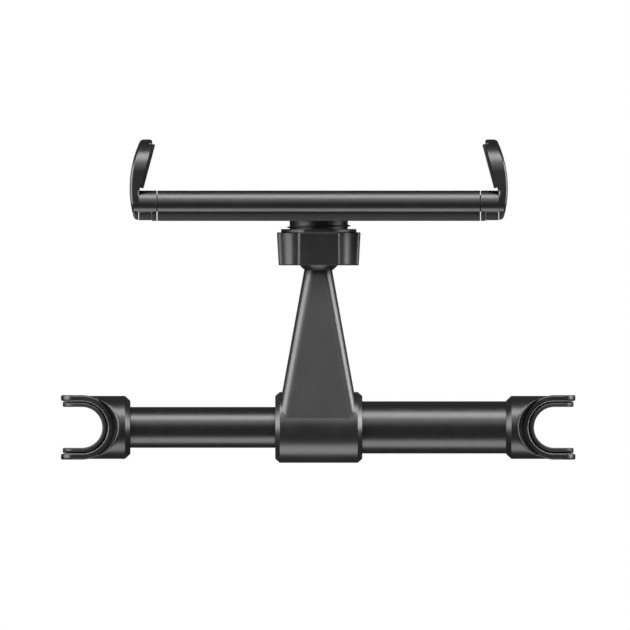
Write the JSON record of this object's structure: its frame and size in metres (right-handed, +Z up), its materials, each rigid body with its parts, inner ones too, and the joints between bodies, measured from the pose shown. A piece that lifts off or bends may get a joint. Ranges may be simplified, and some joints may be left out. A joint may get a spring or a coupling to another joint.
{
  "type": "headrest phone holder",
  "caption": "Telescopic bar with an open fork at each end for a headrest's posts, an arm with a ball joint, and a phone cradle with sprung jaws.",
  "frame": {"origin": "on the post axis of the fixed fork, at mid height of its U, which is where the left-hand headrest post stands as the passenger sees it", "axes": "+Z up the headrest posts, +X along the crossbar from the fixed fork to the sliding one, the phone faces -Y"},
  "size_m": [0.1801, 0.1132, 0.04],
  "materials": {
    "cast_metal": "fine satin paint over a casting",
    "tube_metal": "satin anodised",
    "ball_metal": "satin",
    "plastic": "satin moulded",
    "soft_rubber": "matt",
    "nylon": "plain moulded",
    "steel": "drawn"
  },
  "bodies": {
    "crossbar": {"hub_arm": "cast_metal", "outer_tube": "tube_metal", "fixed_fork": "plastic", "fixed_fork_pad": "soft_rubber", "guide_bush": "nylon", "hub_screw": "steel", "ball_stud": "ball_metal", "bar_spring": "steel"},
    "sliding_bar": {"inner_tube": "tube_metal", "sliding_fork": "plastic", "sliding_fork_pad": "soft_rubber", "inner_plug": "nylon"},
    "pan_cup": {"friction_cup": "nylon"},
    "tilt_pad": {"backing_pad": "soft_rubber"},
    "cradle": {"ball_socket": "plastic", "front_shell": "plastic", "back_cover": "plastic", "cover_screws": "steel", "face_pad_a": "soft_rubber", "face_pad_b": "soft_rubber", "pinion_pin": "steel", "jaw_a_spring": "steel", "jaw_b_spring": "steel"},
    "nut": {"clamp_nut": "plastic"},
    "near_jaw": {"jaw_a": "plastic", "jaw_a_pad": "soft_rubber", "jaw_a_cover": "plastic"},
    "far_jaw": {"jaw_b": "plastic", "jaw_b_pad": "soft_rubber", "jaw_b_cover": "plastic"},
    "gear": {"pinion": "nylon"}
  },
  "joints": [
    {"name": "bar_slide", "type": "slide", "parent": "crossbar", "child": "sliding_bar", "axis": [1, 0, 0], "range_m": [-0.045, 0], "stiffness_N_per_m": 300, "springref_m": 0.05, "deforming": ["bar_spring"]},
    {"name": "cradle_pan", "type": "hinge", "parent": "crossbar", "child": "pan_cup", "pos_m": [0.0825, -0.062, 0], "axis": [0, 0, 1], "range_deg": [-14, 14]},
    {"name": "cradle_tilt", "type": "hinge", "parent": "pan_cup", "child": "tilt_pad", "pos_m": [0.0825, -0.062, 0], "axis": [1, 0, 0], "range_deg": [-14, 14]},
    {"name": "cradle_spin", "type": "hinge", "parent": "tilt_pad", "child": "cradle", "pos_m": [0.0825, -0.062, 0], "axis": [0, 1, 0], "continuous": true},
    {"name": "nut_turn", "type": "hinge", "parent": "cradle", "child": "nut", "pos_m": [0.0825, -0.062, 0], "axis": [0, 1, 0], "range_deg": [0, 180]},
    {"name": "near_jaw_slide", "type": "slide", "parent": "cradle", "child": "near_jaw", "axis": [1, 0, 0], "range_m": [0, 0.024], "stiffness_N_per_m": 150, "springref_m": -0.03, "deforming": ["jaw_a_spring"]},
    {"name": "far_jaw_slide", "type": "slide", "parent": "cradle", "child": "far_jaw", "axis": [-1, 0, 0], "range_m": [0, 0.024], "stiffness_N_per_m": 150, "springref_m": -0.03, "deforming": ["jaw_b_spring"]},
    {"name": "pinion_spin", "type": "hinge", "parent": "cradle", "child": "gear", "pos_m": [0.0825, -0.0785, 0], "axis": [0, 1, 0], "range_deg": [0, 276]}
  ],
  "couplings": [
    {"joint": "far_jaw_slide", "follows": "near_jaw_slide", "ratio": 1},
    {"joint": "pinion_spin", "follows": "near_jaw_slide", "rad_per_m": 200}
  ]
}
